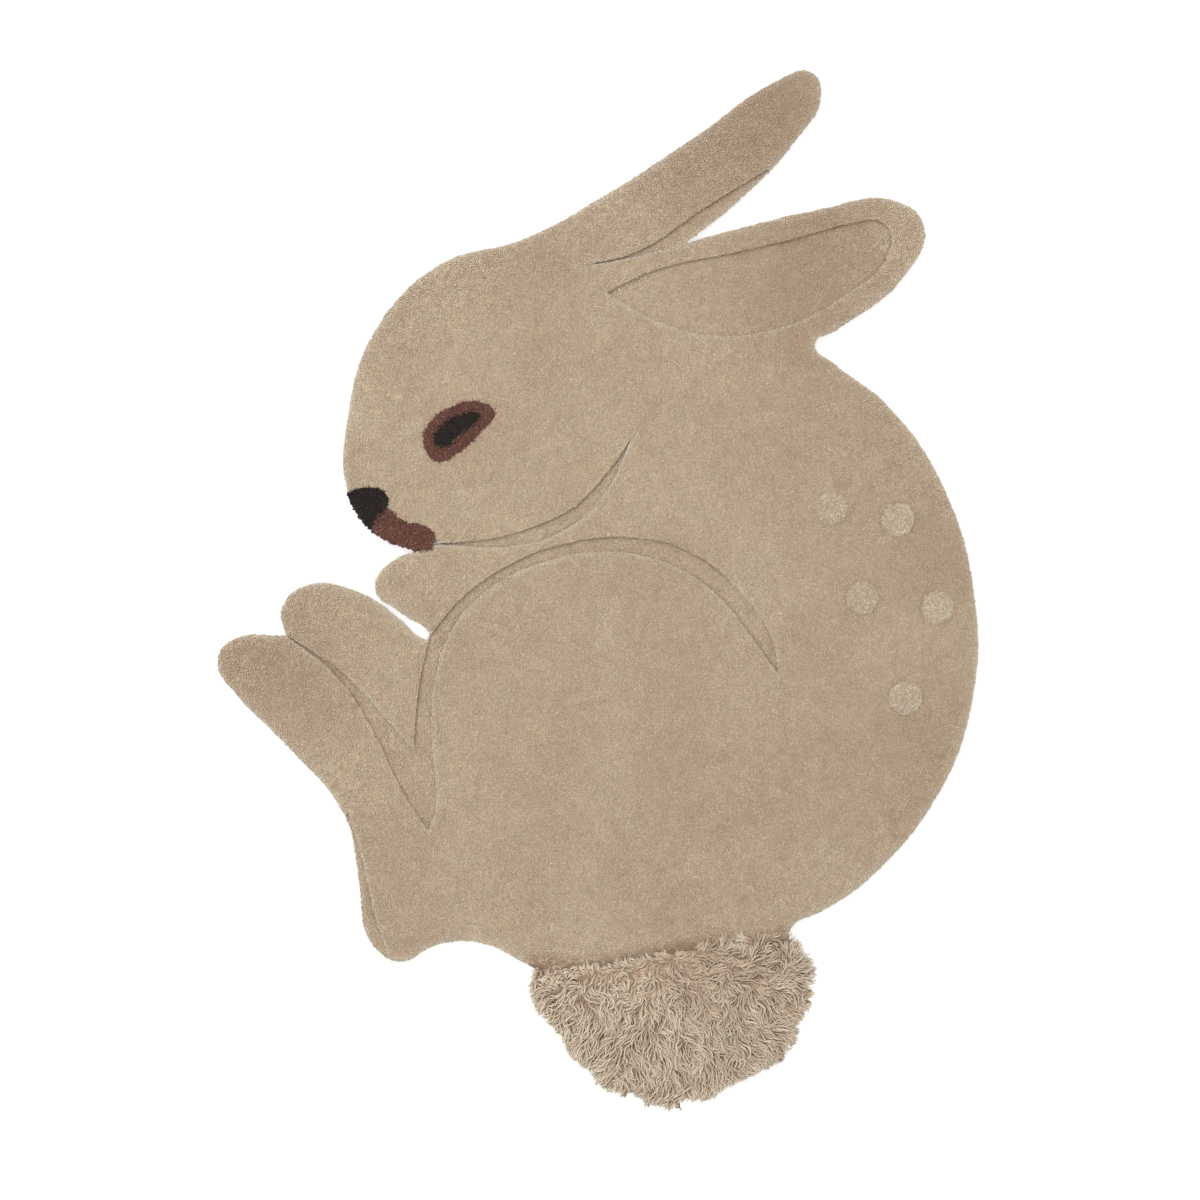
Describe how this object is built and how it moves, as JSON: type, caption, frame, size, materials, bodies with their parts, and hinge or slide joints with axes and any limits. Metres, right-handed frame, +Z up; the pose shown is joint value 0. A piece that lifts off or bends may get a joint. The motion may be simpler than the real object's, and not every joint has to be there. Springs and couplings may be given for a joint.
{
  "type": "rabbit shaped kids rug",
  "caption": "Flat tufted wool rug in the shape of a resting rabbit, with sheared lines, contrast eye, nose and mouth, round back spots and a long shag tail.",
  "frame": {"origin": "middle of the rug's outline, at the underside of the backing", "axes": "+Z up out of the pile; +Y from the tail towards the ears; the nose points to -X"},
  "size_m": [0.8077, 1.1032, 0.0251],
  "materials": {
    "wool_beige": "cut wool pile, warm beige",
    "shag_beige": "long wool shag, pale beige",
    "spot_beige": "open wool tufts, light beige",
    "wool_brown": "cut wool pile, dark brown",
    "wool_black": "cut wool pile, near black"
  },
  "bodies": {
    "root": {"rug_body": "wool_beige", "tail_shag": "shag_beige", "eye_rim": "wool_brown", "eye_pupil": "wool_black", "nose": "wool_black", "mouth": "wool_brown", "back_spot_1": "spot_beige", "back_spot_2": "spot_beige", "back_spot_3": "spot_beige", "back_spot_4": "spot_beige", "back_spot_5": "spot_beige"}
  },
  "joints": []
}
